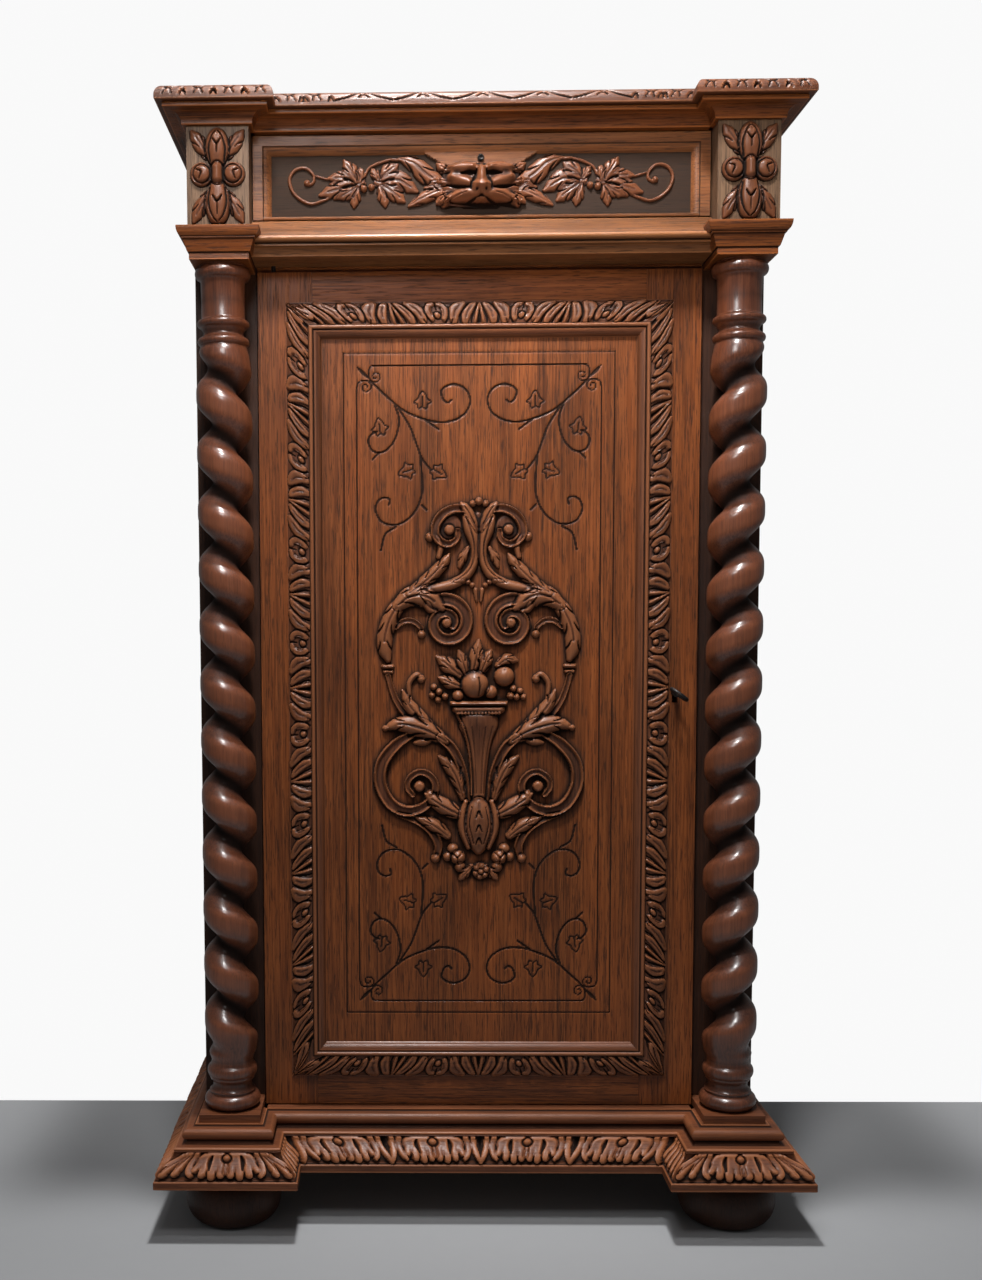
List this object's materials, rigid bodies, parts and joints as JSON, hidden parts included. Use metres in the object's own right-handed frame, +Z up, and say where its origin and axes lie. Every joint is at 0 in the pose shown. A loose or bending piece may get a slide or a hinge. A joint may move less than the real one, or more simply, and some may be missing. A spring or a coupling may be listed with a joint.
{
  "type": "side cabinet",
  "caption": "Carved oak side cabinet with barley-twist corner columns, a panelled door with a key lock and a drawer above, on bun feet.",
  "frame": {"origin": "centre of the footprint on the floor", "axes": "+X to the right seen from the front, the front faces -Y, +Z up"},
  "size_m": [0.74, 0.433, 1.272],
  "materials": {
    "waxed_oak": "waxed satin",
    "dark_oak": "dark semi-gloss polish",
    "rubbed_oak": "rubbed matt",
    "raw_oak": "plain matt",
    "iron": "black satin"
  },
  "bodies": {
    "cabinet": {"plinth_centre": "waxed_oak", "left_plinth_corner": "waxed_oak", "right_plinth_corner": "waxed_oak", "left_plinth_side": "waxed_oak", "right_plinth_side": "waxed_oak", "left_front_post": "waxed_oak", "right_front_post": "waxed_oak", "left_rear_post": "waxed_oak", "right_rear_post": "waxed_oak", "left_side_panel": "waxed_oak", "right_side_panel": "waxed_oak", "door_sill": "waxed_oak", "door_head_rail": "waxed_oak", "left_column_cap": "waxed_oak", "right_column_cap": "waxed_oak", "waist_moulding": "waxed_oak", "left_rosette": "waxed_oak", "right_rosette": "waxed_oak", "cornice_centre": "waxed_oak", "left_cornice_corner": "waxed_oak", "right_cornice_corner": "waxed_oak", "left_cornice_side": "waxed_oak", "right_cornice_side": "waxed_oak", "top_board": "waxed_oak", "front_left_foot": "dark_oak", "front_right_foot": "dark_oak", "rear_left_foot": "dark_oak", "rear_right_foot": "dark_oak", "left_column": "dark_oak", "right_column": "dark_oak", "left_frieze_block": "rubbed_oak", "right_frieze_block": "rubbed_oak", "back_panel": "raw_oak", "cupboard_floor": "raw_oak", "lower_shelf": "raw_oak", "upper_shelf": "raw_oak", "drawer_divider": "raw_oak", "upper_pivot_pin": "iron", "lower_pivot_pin": "iron"},
    "door": {"door_left_stile": "waxed_oak", "door_right_stile": "waxed_oak", "door_top_rail": "waxed_oak", "door_bottom_rail": "waxed_oak", "door_panel": "waxed_oak", "door_moulding_top": "waxed_oak", "door_moulding_bottom": "waxed_oak", "door_moulding_left": "waxed_oak", "door_moulding_right": "waxed_oak", "door_cartouche": "dark_oak", "lock_case": "iron"},
    "drawer": {"drawer_front": "waxed_oak", "drawer_mask": "waxed_oak", "left_vine": "waxed_oak", "right_vine": "waxed_oak", "drawer_left_side": "raw_oak", "drawer_right_side": "raw_oak", "drawer_back": "raw_oak", "drawer_bottom": "raw_oak"},
    "key": {"door_key": "iron"},
    "bolt": {"lock_bolt": "iron"}
  },
  "joints": [
    {"name": "door_swing", "type": "hinge", "parent": "cabinet", "child": "door", "pos_m": [-0.2345, -0.1055, 0.125], "axis": [0, 0, -1], "range_deg": [0, 90]},
    {"name": "drawer_slide", "type": "slide", "parent": "cabinet", "child": "drawer", "axis": [0, -1, 0], "range_m": [0, 0.24]},
    {"name": "key_turn", "type": "hinge", "parent": "door", "child": "key", "pos_m": [0.227, -0.1115, 0.613], "axis": [0, 1, 0], "range_deg": [0, 360]},
    {"name": "bolt_slide", "type": "slide", "parent": "door", "child": "bolt", "axis": [1, 0, 0], "range_m": [0, 0.012]}
  ],
  "couplings": [
    {"joint": "key_turn", "follows": "bolt_slide", "rad_per_m": 523.6}
  ]
}
